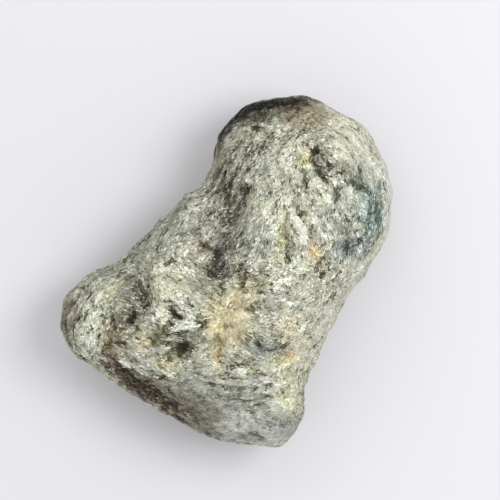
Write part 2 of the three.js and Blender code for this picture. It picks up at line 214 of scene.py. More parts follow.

# Plates and nests of bright mica: the middle, the reach along and across, the turn, how far each stands out
# and how bright it is. The brightness is partly pale mica and partly painted highlight, the light that flat
# plates throw back.
PLATES = [
    ("white patch of the crown", (1.9, 8.2), (0.42, 0.34), 30, 0.06, 0.9),
    ("crown flakes", (5.3, 13.0), (0.6, 0.4), 20, 0.05, 0.8),
    ("crown spark", (6.6, 11.6), (0.22, 0.26), 0, 0.05, 1.0),
    ("upper crown flakes", (4.4, 13.3), (0.6, 0.34), 10, 0.03, 0.5),
    ("upper spine", (4.9, 9.1), (1.8, 1.1), 70, 0.06, 0.40),
    ("lower spine", (3.3, 4.1), (2.4, 1.1), 75, 0.06, 0.45),
    ("raised plate", (8.5, 7.0), (1.45, 0.45), -57, 0.16, 0.70),
    ("flank plate", (7.8, 4.5), (0.50, 0.32), 10, 0.07, 0.9),
    ("flank spark", (10.0, 4.85), (0.38, 0.24), -60, 0.06, 0.9),
    ("second flank spark", (9.0, 4.2), (0.22, 0.22), 0, 0.05, 0.9),
    ("pale streak", (6.4, 4.0), (1.3, 0.26), -57, 0.12, 1.2),
    ("vein in the teal", (13.1, 3.9), (0.65, 0.14), 55, 0.05, 0.9),
    ("vein in the blue", (11.9, 1.9), (0.65, 0.12), 45, 0.05, 0.9),
    ("first bright fold", (-5.9, -3.6), (0.70, 0.42), 40, 0.14, 1.4),
    ("second bright fold", (-3.6, -5.0), (1.2, 0.24), 8, 0.10, 1.3),
    ("above the long pit", (-4.7, -2.7), (1.1, 0.3), -15, 0.10, 0.9),
    ("right of the long pit", (-3.4, -3.8), (0.8, 0.30), -28, 0.08, 1.0),
    ("flank nest", (-3.8, 1.1), (0.55, 0.48), 0, 0.06, 0.5),
    ("second flank nest", (-2.7, -0.2), (0.65, 0.32), -40, 0.05, 0.5),
    ("knob-side flake", (-9.5, -2.8), (0.42, 0.20), -30, 0.07, 0.95),
    ("knob's crest", (-12.1, -5.3), (2.7, 0.95), 78, 0.03, 0.45),
    ("knob's shoulder", (-11.4, -2.6), (0.35, 0.35), 0, 0.05, 0.6),
    ("slope sparks", (2.2, 1.7), (0.4, 0.34), 0, 0.05, 0.6),
    ("flank below the streak", (6.2, 0.6), (1.9, 0.9), 0, 0.02, 0.4),
    ("lower slope sparks", (0.5, -1.0), (0.4, 0.34), 0, 0.05, 0.7),
    ("spark at the slit's end", (-0.75, -8.3), (0.17, 0.17), 0, 0.04, 0.9),
    ("ledge flakes", (-2.1, -9.0), (0.5, 0.22), 0, 0.06, 0.45),
    ("pale line of the lower face", (1.7, -11.3), (0.6, 0.12), 0, 0.06, 0.8),
    ("second pale line", (3.6, -12.9), (0.75, 0.13), 8, 0.06, 0.8),
    ("right of the lower face", (4.4, -12.2), (1.6, 1.0), 0, 0.02, 0.45),
    ("long pale line", (1.4, -12.7), (1.2, 0.16), 12, 0.05, 0.5),
    ("edge blade", (-5.5, -9.1), (0.95, 0.14), -35, 0.07, 0.6),
    ("thin blade of the edge", (-8.9, -8.6), (0.65, 0.09), -30, 0.08, 0.8),
    ("ochre fan", (-0.2, -4.2), (2.0, 1.8), 0, 0.03, 0.40),
    ("right of the belly", (5.0, -3.6), (2.8, 2.2), 30, 0.02, 0.25),
    ("flake over the deep pit", (-4.6, -6.0), (0.34, 0.13), 5, 0.08, 0.9),
    ("salt of the slope", (2.2, 0.4), (1.2, 1.4), 0, 0.02, 0.20),
    ("knob's lower crest", (-11.4, -7.4), (0.9, 0.6), -50, 0.04, 0.30),
    ("pale slope", (3.8, -0.9), (0.8, 0.7), 0, 0.02, 0.50),
    ("yellow groove", (7.15, 9.7), (0.9, 0.30), 85, 0.02, 0.85),
    ("orange fleck", (7.9, 1.95), (0.5, 0.3), 85, 0.01, 0.3),
]


def numbers_for(cells, salt):
    """Three numbers from 0 to 1 for each whole-numbered cell, the same each time for the same cell. The long
    numbers only stir the bits."""
    x, y, z = (cells[:, i].astype(np.int64).astype(np.uint64) for i in range(3))
    seed = x * np.uint64(0x9E3779B97F4A7C15) ^ y * np.uint64(0xC2B2AE3D27D4EB4F)
    seed = (seed ^ z * np.uint64(0x165667B19E3779F9)) + np.uint64(salt * 0x27D4EB2F165667C5 % 2**64)
    for turn in (29, 32):
        seed = (seed ^ (seed >> np.uint64(turn))) * np.uint64(0xBF58476D1CE4E5B9)
    seed = seed ^ (seed >> np.uint64(31))
    return np.stack([(seed >> np.uint64(s)) & np.uint64(0xFFFFF) for s in (2, 22, 43)], 1) / 0xFFFFF


def eased(share):
    """A share from 0 to 1 that sets off and arrives gently."""
    return share * share * (3 - 2 * share)


def rolling(places, salt):
    """Smooth rise and fall, from -1 to 1, with one hill or hollow in about each unit of length."""
    base = np.floor(places)
    part = eased(places - base)
    height = np.zeros(len(places))
    for corner in itertools.product((0, 1), repeat=3):
        weight = np.where(corner, part, 1 - part).prod(axis=1)
        height += weight * (2 * numbers_for(base + corner, salt)[:, 0] - 1)
    return height


def grains(places, salt):
    """Packed grains, one to each unit cube: the way from a grain's middle, its own numbers, and how far off
    the border with the next grain is."""
    base = np.floor(places)
    nearest = np.full(len(places), np.inf)
    second = nearest.copy()
    way = np.zeros_like(places)
    own = np.zeros_like(places)
    for step in itertools.product((-1, 0, 1), repeat=3):
        cell = base + step
        numbers = numbers_for(cell, salt)
        apart = places - cell - numbers
        far = np.linalg.norm(apart, axis=1)
        second = np.minimum(second, np.maximum(far, nearest))
        closer = far < nearest
        nearest = np.where(closer, far, nearest)
        way[closer] = apart[closer]
        own[closer] = numbers[closer]
    return way, numbers_for(np.floor(own * 4096), salt + 1), second - nearest


def bell(far, reach):
    """1 at no distance, falling softly to 0 past the reach."""
    return np.exp(-((far / reach) ** 2))


def near(places, middle, reach):
    """1 over a middle, seen from above, falling softly to 0 past its reach."""
    return bell(np.hypot(places[:, 0] - middle[0], places[:, 1] - middle[1]), reach)


def turned(x, y, degrees):
    """The same places, along and across a line that is turned by so much."""
    c, s = math.cos(math.radians(degrees)), math.sin(math.radians(degrees))
    return x * c + y * s, y * c - x * s


def off_path(places, path):
    """How far each place is from a path, seen from above."""
    nearest = np.full(len(places), np.inf)
    for a, b in zip(path, path[1:]):
        start, step = np.array(a), np.subtract(b, a)
        share = np.clip((places[:, :2] - start) @ step / (step @ step), 0, 1)
        far = np.linalg.norm(places[:, :2] - start - share[:, None] * step, axis=1)
        nearest = np.minimum(nearest, far)
    return nearest


def laid_out(places):
    """The places seen from above, and how ragged the borders of patches are there."""
    stray = [0.20 * rolling(places / 0.9, salt) for salt in (81, 82)]
    ragged = 1 + 0.45 * rolling(places / 0.7, 83) + 0.40 * rolling(places / 0.28, 84)
    ragged += 0.25 * streaks(places)
    return np.stack([places[:, 0] + stray[0], places[:, 1] + stray[1], np.clip(ragged, 0.3, 2)], 1)


def patch(flat, middle, reach, turn):
    """1 in the middle of an oval, falling to 0 past its ragged border."""
    along, across = turned(flat[:, 0] - middle[0], flat[:, 1] - middle[1], turn)
    far = np.hypot(along / reach[0], across / reach[1]) * flat[:, 2]
    return eased(np.clip((1.6 - far) / 1.1, 0, 1))


def streaks(places):
    """Fine ridges, from -1 to 1, that run with the grain where it is long."""
    total = np.zeros(len(places))
    weights = np.full(len(places), PLAIN_GRAIN)
    for row, (_, middle, reach, _, strength, (kind, value)) in enumerate(GRAIN):
        weight = near(places, middle, reach)
        weights += weight
        shown = weight > FAINT
        x, y, z = places[shown].T
        if kind == "turn":
            run, across = turned(x, y, value)
        else:
            dx, dy = x - value[0], y - value[1]
            run, across = np.hypot(dx, dy), np.arctan2(dy, dx) * reach
        lines = rolling(np.stack([run / 1.5, across / 0.26, z], 1), 101 + row)
        lines += 0.6 * rolling(np.stack([run / 2.8, across / 0.55, z / 1.5], 1), 121 + row)
        total[shown] += weight[shown] * strength * lines
    share = face_share(places)
    edges_of_layers = rolling(in_layers(places) / (2.2, 1.8, 0.22), 100)
    return total / weights * share + 0.6 * edges_of_layers * (1 - share)


def roughness_of(places):
    """How rough the broken skin is at each place: 1 where it is plain."""
    flat = laid_out(places)
    rough = np.ones(len(places))
    for _, middle, reach, turn, more in ROUGHNESS:
        rough += more * patch(flat, middle, reach, turn) * face_share(places)
    return np.clip(rough, 0.2, 2.0) * (1 - 0.8 * polish(places))


def nests(places):
    """How deep the hollows are at each place and how dark their painted shade, and how high and how bright
    the plates, partly painted highlight.
    """
    flat = laid_out(places)
    shares = face_share(places)
    combed = np.clip(0.75 - 1.1 * streaks(places), 0.1, 1.3)
    totals = []
    for rows, comb in ((HOLLOWS, combed), (PLATES, 1.0)):
        relief, tone = np.zeros(len(places)), np.zeros(len(places))
        for _, middle, reach, turn, height, strength in rows:
            share = patch(flat, middle, reach, turn) * shares
            relief = np.maximum(relief, height * share)
            # The strongest patches hold together where the streaks cut the weaker ones.
            solid = 0.85 * min(strength, 1) ** 2
            tone = np.maximum(tone, strength * share * (comb + (1 - comb) * solid))
        totals += [relief, tone]
    depth, dark, rise, bright = totals
    dark = np.minimum(dark, 1)
    layered = in_layers(places) / (1.3, 0.9, 0.45)
    more = rolling(layered, 91) + 0.4 * rolling(layered * 2.3, 92)
    bright = np.maximum(bright, np.clip((-more - 0.55) / 0.40, 0, 1) * 0.7) * (1 - 0.9 * dark)
    small_dark = np.clip((more - 0.52) / 0.40, 0, 1) * (0.4 + 0.4 * shares) * (1 - 0.8 * bright)
    dark = np.maximum(dark, small_dark)
    return depth, dark, rise, bright


def in_layers(places):
    """A place given along, across and through the mica's layers, which bend."""
    bend = 1.5 * rolling(places / 6.0, 11) + 0.4 * rolling(places / 2.2, 12)
    return np.stack([places @ LAYER_ALONG, places @ LAYER_ACROSS, places @ LAYER_NORMAL + bend], 1)


def face_share(places):
    """1 on the face, 0 on the underside."""
    return np.clip((places[:, 2] - FACE_FROM) / FACE_FADE, 0, 1)


def polish(places):
    """1 where the stone is rubbed smooth: the crown's dark edge, the outer right rim and the foot."""
    crown = bell(off_path(places, RUBBED_CROWN), 1.3)
    rim = bell(off_path(places, RUBBED_RIM), 0.4)
    foot = bell(off_path(places, RUBBED_FOOT), 1.5)
    high = np.clip((places[:, 2] - RUBBED_FROM) / RUBBED_FADE, 0, 1)
    return np.clip(1.4 * crown + 0.9 * rim + 0.5 * foot, 0, 1) * high


def skin_height(places):
    """How far the broken skin stands out of the plain form."""
    layered = in_layers(places)
    wobble = 0.25 * np.stack([rolling(places / 0.9, salt) for salt in (21, 22, 23)], 1)
    big_way, big_own, big_border = grains((layered + wobble) / (1.7, 1.2, 0.55), 31)
    mid_way, mid_own, mid_border = grains((layered + wobble) / (0.75, 0.5, 0.26), 41)
    height = 0.08 + 0.14 * (big_own[:, 0] - 0.5) + 0.18 * (big_way * (big_own - 0.5)).sum(axis=1)
    height += 0.04 * (mid_own[:, 0] - 0.5) + 0.07 * (mid_way * (mid_own - 0.5)).sum(axis=1)
    height += 0.10 * rolling(places / 1.3, 51) + 0.03 * rolling(places / 0.5, 52)
    height -= 0.01 * bell(mid_border, 0.12) + 0.03 * bell(big_border, 0.10)
    height -= 0.05 * (mid_own[:, 1] > 0.93)
    height += 0.09 * streaks(places)
    depth, dark, rise, _ = nests(places)
    knob_swell = 0.22 * near(places, (-12.8, -0.2), 1.8)
    return height * np.minimum(roughness_of(places), 1.4) + knob_swell - depth + rise - 0.06 * dark


def corner_normals(places, faces):
    """The way that the surface faces at each corner."""
    a, b, c = (places[faces[:, i]] for i in range(3))
    across = np.cross(b - a, c - a)
    total = np.zeros_like(places)
    for i in range(3):
        for axis in range(3):
            total[:, axis] += np.bincount(faces[:, i], across[:, axis], len(places))
    return total / np.maximum(np.linalg.norm(total, axis=1), 1e-12)[:, None]


def smoothed(values, edges, rounds):
    """Each corner's value, drawn towards its neighbours' mean."""
    count = np.bincount(edges.ravel(), minlength=len(values))[:, None]
    for _ in range(rounds):
        total = np.zeros_like(values)
        for axis in range(values.shape[1]):
            total[:, axis] += np.bincount(edges[:, 0], values[edges[:, 1], axis], len(values))
            total[:, axis] += np.bincount(edges[:, 1], values[edges[:, 0], axis], len(values))
        values = values + 0.5 * (total / count - values)
    return values


plain = bmesh.new()
plain.from_mesh(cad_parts["fuchsite_stone"].data)
bmesh.ops.remove_doubles(plain, verts=plain.verts, dist=SAME_CORNER * MM)
bmesh.ops.subdivide_edges(plain, edges=plain.edges, cuts=BODY_CUTS, use_grid_fill=True)
bmesh.ops.triangulate(plain, faces=plain.faces)
body_mesh = bpy.data.meshes.new("stone_body")
plain.to_mesh(body_mesh)
plain.free()

body_places = np.array([v.co for v in body_mesh.vertices]) / MM
body_faces = np.array([f.vertices for f in body_mesh.polygons])
body_edges = np.array([e.vertices for e in body_mesh.edges])
lies_flat = body_places[:, 2] < RESTING
body_places = smoothed(body_places, body_edges, SMOOTHING_ROUNDS)
body_places += corner_normals(body_places, body_faces) * skin_height(body_places)[:, None]
body_places[:, 2] = np.where(lies_flat, 0.0, np.maximum(body_places[:, 2], 0.0))
body_mesh.vertices.foreach_set("co", (body_places * MM).astype(np.float32).ravel())
body_mesh.update()

# How far each place lies below the ground around it: painted shade darkens the hollows, painted light the
# rises.
facing = corner_normals(body_places, body_faces)
calm_facing = corner_normals(smoothed(body_places, body_edges, CALM_ROUNDS), body_faces)
sunk = ((smoothed(body_places, body_edges, GROUND_ROUNDS) - body_places) * facing).sum(axis=1)
hollow = np.clip(sunk / DEEP_HOLLOW, -1, 1)

# Stains and mineral patches of the face, and among them some painted shade and painted cast shadow, marked
# row by row: where the middle is, how far it reaches along and across, its turn in degrees, its colour and
# how strongly it shows.
STAINS = [
    # Partly brown stone, partly painted shade on the flank that faces away from the light.
    ("brown flank of the crown", (-0.2, 8.0), (3.4, 1.5), 66, "#8b8272", 0.7),
    ("upper left edge", (-6.9, 4.1), (5.2, 1.0), 43, "#767a69", 0.6),
    ("grey wedge", (-0.6, 3.2), (1.6, 0.8), 82, "#908b7f", 0.7),
    # Painted shade along the valley.
    ("dark of the valley", (0.6, 5.1), (2.6, 0.75), 76, "#787468", 0.6),
    ("brown spot", (-1.8, 2.0), (0.65, 0.45), 0, "#776245", 0.75),
    # Painted cast shadow over the tan top of the crown.
    ("tan top of the crown", (7.2, 13.8), (2.4, 1.3), -10, "#857858", 0.76),
    ("cream shoulder", (10.6, 12.4), (1.9, 1.4), -60, "#d3d1ba", 0.8),
    ("yellow groove", (7.15, 9.75), (1.0, 0.40), 85, "#e8e0b0", 0.90),
    ("olive groove", (7.0, 8.2), (1.1, 0.25), 88, "#6e6e4d", 0.7),
    ("yellow line", (5.1, 3.5), (1.8, 0.34), 83, "#c0ba8a", 0.85),
    ("lime nest of the spine", (3.7, 6.1), (0.6, 0.4), 60, "#bcc48b", 0.5),
    ("ochre fan", (0.1, -4.0), (2.1, 1.8), 0, "#dfd3a8", 0.80),
    ("right arm of the fan", (2.0, -1.9), (1.5, 0.6), 35, "#bfb491", 0.65),
    ("foot of the fan", (0.7, -5.6), (1.1, 1.8), 8, "#b3a985", 0.65),
    ("rusty slit", (-0.65, -6.9), (1.35, 0.20), 88, "#bfa568", 0.9),
    ("pale band by the slit", (-1.15, -6.8), (1.2, 0.24), 88, "#c1b486", 0.8),
    ("orange fleck", (7.9, 1.95), (0.72, 0.46), 85, "#d4bb8b", 0.92),
    ("yellow below the fleck", (8.2, 0.9), (0.9, 0.5), 40, "#b4aa7f", 0.45),
    ("orange corner", (5.8, -7.6), (0.9, 0.42), -10, "#d9b07f", 0.85),
    ("yellow round the corner", (5.6, -8.3), (1.2, 0.8), -30, "#c4bf96", 0.7),
    ("peach belly", (5.5, -4.9), (1.1, 0.8), 20, "#c0b396", 0.6),
    ("pale yellow corner", (5.5, -12.0), (0.7, 0.5), 0, "#e8e6c4", 0.85),
    ("yellow of the lower right", (5.4, -10.8), (1.5, 1.3), 90, "#b5b391", 0.5),
    ("cream patch of the knob", (-10.0, -1.8), (0.9, 0.42), 25, "#c4bf99", 0.9),
    ("tan patch by the deep pit", (-7.2, -6.3), (0.6, 0.6), 0, "#b0a27b", 0.65),
    ("yellow of the lower left", (-5.3, -8.6), (1.1, 0.6), -30, "#c4c199", 0.6),
    ("tan of the lower left", (-4.9, -8.1), (0.5, 0.4), 0, "#b8a378", 0.5),
    ("cream flank", (-4.9, -0.6), (2.0, 1.3), 20, "#cbcbac", 0.6),
    ("teal rim", (13.2, 5.0), (1.8, 1.05), 82, "#4f7476", 0.80),
    ("teal shoulder", (12.9, 6.9), (1.0, 0.8), -20, "#a9b9b4", 0.5),
    ("green above the teal", (12.7, 5.9), (0.9, 0.6), 0, "#7a9081", 0.5),
    ("blue-grey patch", (11.3, 2.0), (1.5, 0.9), 35, "#76868a", 0.75),
    ("brown between teal and blue-grey", (10.4, 4.0), (0.8, 0.6), 0, "#7c7664", 0.5),
    # Partly brown stone, partly painted shade on the knob's side that faces away from the light.
    ("knob's brown rim", (-14.5, -4.6), (2.4, 0.8), 85, "#6a5d4c", 0.82),
    ("knob's brown valley", (-10.5, -6.1), (1.6, 0.75), 80, "#7c6a45", 0.85),
    ("olive of the knob's side", (-9.1, -3.1), (1.3, 0.9), 40, "#66634e", 0.78),
    ("brown below the knob", (-9.7, -7.3), (1.1, 0.8), -30, "#8f8670", 0.6),
    # Painted cast shadow with a warm painted reflection, over the stone's darker lower edge.
    ("brown lower edge", (-7.0, -10.9), (4.4, 0.95), -35, "#665240", 0.88),
    ("green by the deep pit", (-6.1, -5.7), (0.9, 0.7), 50, "#757751", 0.75),
    ("green below the deep pit", (-4.4, -7.3), (0.8, 0.4), 20, "#646b4f", 0.6),
    ("dark blue belly", (3.5, -6.9), (1.4, 0.55), 5, "#4a555d", 0.55),
    ("violet-grey of the valley's foot", (-0.7, 0.5), (1.5, 0.8), 75, "#676a70", 0.48),
    ("speckled slope", (1.9, -1.6), (1.2, 1.3), 70, "#7e7e6d", 0.4),
    ("grey of the slope", (2.8, 2.5), (1.7, 1.1), 0, "#7b7b6d", 0.68),
    ("grey left of the valley's foot", (-2.6, -0.5), (0.9, 2.4), 10, "#76756b", 0.5),
    ("grey-green belly", (4.7, -2.4), (1.2, 0.8), 20, "#878779", 0.30),
    ("lower face", (-0.4, -11.6), (3.1, 1.6), -6, "#828a88", 0.55),
    ("foot", (2.6, -14.4), (3.6, 1.0), -4, "#b2b5b4", 0.75),
    ("lime fleck", (2.15, -8.9), (0.2, 0.12), 0, "#acb766", 0.8),
    ("right rim", (14.8, 6.4), (4.2, 0.55), 92, "#d0d3ca", 0.8),
    ("right flank", (10.4, -2.6), (4.0, 1.0), 57, "#c4c3b6", 0.65),
    # Partly dark rubbed stone, partly painted cast shadow.
    ("rubbed edge of the crown", (2.6, 14.4), (3.8, 1.0), 14, "#6f6c64", 0.75),
    ("grey patch of the crown", (0.4, 12.7), (0.6, 0.45), 60, "#b0b2ae", 0.85),
    ("pale spine", (4.8, 5.9), (2.4, 0.9), 84, "#cfcfba", 0.6),
    ("grey-green flank", (-4.9, 3.6), (2.8, 1.5), 43, "#8d8f80", 0.55),
    ("pale green knob", (-12.0, -5.6), (2.4, 1.1), 75, "#c6cdb6", 0.40),
    ("pale lower right edge", (6.7, -8.6), (1.5, 0.5), 70, "#cccab8", 0.6),
    ("pale lower face", (-1.6, -10.2), (1.1, 0.5), -10, "#c2c3b4", 0.6),
    ("grey beside the knob", (-6.9, -2.7), (1.3, 1.2), 60, "#918d79", 0.5),
    ("green beside the fan", (-2.4, -4.6), (0.7, 0.6), 0, "#6e7452", 0.6),
    ("grey of the belly", (3.0, -4.4), (1.2, 0.9), 20, "#8c8b7b", 0.38),
    # Painted cast shadow at the foot of the lower edge.
    ("brown at the foot of the edge", (-2.4, -12.6), (1.9, 1.2), -40, "#605546", 0.75),
    ("grey above the knob's side", (-9.3, -1.2), (0.9, 1.0), 0, "#8b8a78", 0.45),
    ("brown of the knob's side", (-8.8, -5.4), (1.0, 0.8), 0, "#8a8470", 0.45),
    ("pale lower right of the face", (2.6, -12.6), (1.6, 1.5), 0, "#b9baae", 0.40),
    ("brown of the crown", (2.8, 12.2), (1.3, 0.9), 20, "#9c9580", 0.45),
    ("pale left of the valley", (-1.8, 4.9), (0.9, 1.7), 0, "#bdbcad", 0.62),
    ("pale nest of the left swell", (-5.1, 0.5), (0.9, 0.7), 0, "#d3d3ba", 0.55),
    ("pale upper right edge", (13.0, 9.6), (1.6, 0.8), -55, "#d0cfbe", 0.6),
    ("grey end of the foot", (5.8, -14.1), (0.9, 1.0), 0, "#83837e", 0.6),
    ("pale green shoulder", (10.8, 6.2), (1.5, 2.2), 0, "#b0baae", 0.45),
    # Partly rusty stone, partly painted cast shadow.
    ("rusty edge of the crown", (6.2, 15.2), (1.7, 0.5), -4, "#6b5a42", 0.7),
    ("pale lower knob", (-12.7, -6.7), (1.3, 0.7), 100, "#c4c8b5", 0.65),
    ("grey by the orange fleck", (7.5, 2.8), (0.6, 0.9), 0, "#8d8d80", 0.4),
    ("grey under the cream patch", (-8.0, -0.6), (1.5, 0.9), 30, "#8b8b7b", 0.5),
    ("green-grey below the second fold", (-3.5, -5.9), (1.3, 0.5), 5, "#6f725c", 0.65),
    ("pale right of the lower face", (3.2, -10.3), (1.5, 0.8), 0, "#c9c9b9", 0.5),
    ("grey of the lower left face", (-4.3, -10.5), (1.3, 0.8), -30, "#767569", 0.5),
    ("blue-black smudge above the teal", (11.8, 8.5), (0.9, 0.45), -40, "#46515a", 0.18),
]
STAIN_SPREAD = 1.15  # stains bleed this much past the reach that is given
PLAIN_TINT = "#b7b7a3"
DULL_TINT = "#9b9e8d"
CREAM_TINT = "#c4c1a7"
RUST_TINT = "#c2a66a"


def light_of(code):
    """A colour's light, red green and blue, from its written code."""
    shown = np.array([int(code[i : i + 2], 16) for i in (1, 3, 5)]) / 255
    return np.where(shown <= 0.04045, shown / 12.92, ((shown + 0.055) / 1.055) ** 2.4)


def tint_of(places):
    """The stone's colour at each place, without its grain: its own colour, with the painted shade and painted
    cast shadow of some stains.
    """
    broad = rolling(places / 3.1, 71) + 0.5 * rolling(places / 1.2, 72)
    dull = np.clip(0.7 * broad, 0, 1)[:, None]
    cream = np.clip(-0.7 * broad, 0, 1)[:, None]
    tint = light_of(PLAIN_TINT) * (1 - dull - cream)
    tint = tint + light_of(DULL_TINT) * dull + light_of(CREAM_TINT) * cream
    rust = np.clip(rolling(places / 4.0, 73) + 0.4 * rolling(places / 0.9, 74) - 0.5, 0, 1)
    tint += (light_of(RUST_TINT) - tint) * (rust * (1 - face_share(places)))[:, None]
    flat = laid_out(places)
    broken = np.clip(0.92 + 0.45 * streaks(places) + 0.25 * rolling(places / 0.3, 76), 0, 1.1)
    broken = face_share(places) * broken
    for _, middle, reach, turn, colour, strength in STAINS:
        spread = (STAIN_SPREAD * reach[0], STAIN_SPREAD * reach[1])
        share = strength * patch(flat, middle, spread, turn) * broken
        tint += (light_of(colour) - tint) * share[:, None]
    return tint


def dark_edge(places):
    """How dark the rubbed edge of the crown is: partly dark polished stone, partly painted cast shadow."""
    edge = off_path(places, DARK_EDGE)
    width = 0.85 + 0.7 * np.clip((places[:, 0] + 1.0) / 3.0, 0, 1)
    ragged = 0.25 * rolling(places / 0.6, 77) + 0.25 * rolling(places / 0.22, 78) + 0.3 * streaks(places)
    above = places[:, 2] - FACE_FROM + 1.5 * rolling(places / 1.1, 79) + 1.2 * rolling(places / 0.35, 80)
    high = np.clip(above / 1.2 + 1.5 * streaks(places), 0, 1)
    return np.clip(1.5 * (1.35 - edge / width + ragged), 0, 1) * high


def shade_of(places):
    """How light a place is beside the stone's plain tone, and how dark and how bright the nests make it: the
    stone's own tone with painted highlight on the bright plates, painted shade in the pits and a painted cast
    shadow over the crown's dark edge.
    """
    _, dark, _, bright = nests(places)
    clusters = 0.22 * rolling(places / 0.8, 94) + 0.12 * rolling(places / 0.4, 95) + 0.36 * streaks(places)
    clusters *= roughness_of(places)
    shade = np.exp(clusters + 0.30 * bright - 1.3 * dark)
    # The crown's dark edge darkens the shade: partly dark polished stone, partly painted cast shadow.
    rubbed = dark_edge(places) * (0.94 + 0.05 * rolling(places / 0.5, 75))
    return shade * (1 - rubbed), dark, bright


def browned(light, brown):
    """The tint that a dark place takes, which grows towards brown as the light falls."""
    return np.array(brown) ** np.clip(-np.log(np.clip(light, 0.2, 1)), 0, 1)[:, None]


def store_colour(mesh, name, colours):
    """Keeps a colour for each corner of a mesh, where its material can read it."""
    layer = mesh.color_attributes.new(name, "FLOAT_COLOR", "POINT")
    with_alpha = np.column_stack([colours, np.ones(len(colours))])
    layer.data.foreach_set("color", with_alpha.astype(np.float32).ravel())


def store_number(mesh, name, numbers):
    """Keeps a number for each corner of a mesh in the same way."""
    mesh.attributes.new(name, "FLOAT", "POINT").data.foreach_set("value", numbers.astype(np.float32))


def two_charts(mesh, places, faces):
    """Lays the mesh out for a bake: the face on the left of the picture, the underside on the right."""
    a, b, c = (places[faces[:, i]] for i in range(3))
    up = np.cross(b - a, c - a)[:, 2] > 0
    low, high = places[:, :2].min(axis=0), places[:, :2].max(axis=0)
    flat = (places[:, :2] - low) / (high - low)
    corners = flat[faces] * (0.49, 0.98) + (0.005, 0.01)
    corners[~up, :, 0] += 0.5
    mesh.uv_layers.new(name="OFBake").data.foreach_set("uv", corners.astype(np.float32).ravel())


# The body's colour: its tint times its shade, which holds painted shade in the pits, painted highlight on the
# bright plates and a painted cast shadow on the crown's edge.
body_shade, body_dark, _ = shade_of(body_places)
body_colour = tint_of(body_places) * body_shade[:, None] * browned(body_shade, (1.0, 0.96, 0.82))
store_colour(body_mesh, "tint", body_colour)
store_number(body_mesh, "hollow", hollow)
store_number(body_mesh, "roughness", np.minimum(roughness_of(body_places), 1))


def add_node(tree, kind, inputs=(), **settings):
    """Adds a node. An input is a plain value, or the output of another node."""
    node = tree.nodes.new("ShaderNode" + kind)
    for name, value in settings.items():
        setattr(node, name, value)
    for name, value in dict(inputs).items():
        if isinstance(value, bpy.types.NodeSocket):
            tree.links.new(value, node.inputs[name])
        else:
            node.inputs[name].default_value = value
    return node


def ramp(tree, factor, stops):
    """A ColorRamp through greys, given as (place, brightness)."""
    node = add_node(tree, "ValToRGB", {"Fac": factor})
    elements = node.color_ramp.elements
    while len(elements) < len(stops):
        elements.new(0.5)
    for element, (place, grey) in zip(elements, stops):
        element.position = place
        element.color = (grey, grey, grey, 1)
    return node.outputs["Color"]


def times(tree, a, b, share=None):
    """The first colour, darkened or lightened by the second one, in full or by a share."""
    node = add_node(tree, "Mix", data_type="RGBA", blend_type="MULTIPLY")
    node.inputs["Factor"].default_value = 1.0
    if share:
        tree.links.new(share, node.inputs["Factor"])
    tree.links.new(a, node.inputs[6])
    tree.links.new(b, node.inputs[7])
    return node.outputs[2]


def scaled_place(tree, size, tipped=(0, 0, 0)):
    """Object coordinates counted in units of the given size, in millimetres."""
    here = add_node(tree, "TexCoord").outputs["Object"]
    scale = [1 / (s * MM) for s in size]
    return add_node(tree, "Mapping", {"Vector": here, "Scale": scale, "Rotation": tipped}).outputs["Vector"]


def new_finish(name):
    """An empty material, and its node tree."""
    material = bpy.data.materials.new(name)
    material.use_nodes = True
    material.node_tree.nodes.clear()
    return material, material.node_tree


def coat(tree, inputs):
    """Closes a material with its shader."""
    shader = add_node(tree, "BsdfPrincipled", inputs)
    tree.links.new(shader.outputs[0], add_node(tree, "OutputMaterial").inputs["Surface"])


def cells_of(tree, size, tipped=(0, 0, 0)):
    """Grains of the given size, in millimetres, each with a colour of its own."""
    return add_node(tree, "TexVoronoi", {"Vector": scaled_place(tree, size, tipped), "Scale": 1.0})


def noise_of(tree, size, detail, roughness):
    """Cloudy noise with hills of the given size, in millimetres."""
    settings = {"Vector": scaled_place(tree, size), "Scale": 1.0, "Detail": detail, "Roughness": roughness}
    return add_node(tree, "TexNoise", settings).outputs["Fac"]


def bent_normal(tree, normal, cells, amount):
    """The normal, tipped a little another way in each cell."""
    lean = add_node(tree, "VectorMath", {0: cells.outputs["Color"], 1: (0.5, 0.5, 0.5)}, operation="SUBTRACT")
    lean = add_node(tree, "VectorMath", {0: lean.outputs[0], "Scale": amount}, operation="SCALE")
    return add_node(tree, "VectorMath", {0: normal, 1: lean.outputs[0]}, operation="ADD").outputs[0]


